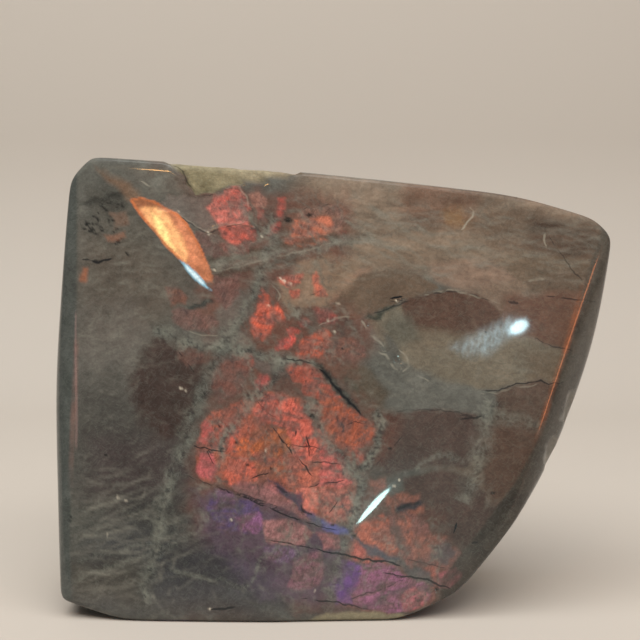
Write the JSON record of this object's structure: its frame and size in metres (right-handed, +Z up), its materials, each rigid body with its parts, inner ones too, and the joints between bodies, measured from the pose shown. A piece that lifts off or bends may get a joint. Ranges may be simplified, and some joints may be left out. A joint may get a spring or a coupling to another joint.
{
  "type": "polished labradorite freeform",
  "caption": "Polished labradorite freeform: a leaning slab of grey-brown feldspar with bevelled edges and a strip of natural skin, standing on a flat cut base.",
  "frame": {"origin": "middle of the stone's footprint box, on the surface that it rests on", "axes": "+X to the right of someone facing the polished front, -Y out of that front, +Z up"},
  "size_m": [0.1578, 0.0474, 0.1261],
  "materials": {
    "labradorite": "polished"
  },
  "bodies": {
    "root": {"labradorite": "labradorite"}
  },
  "joints": []
}
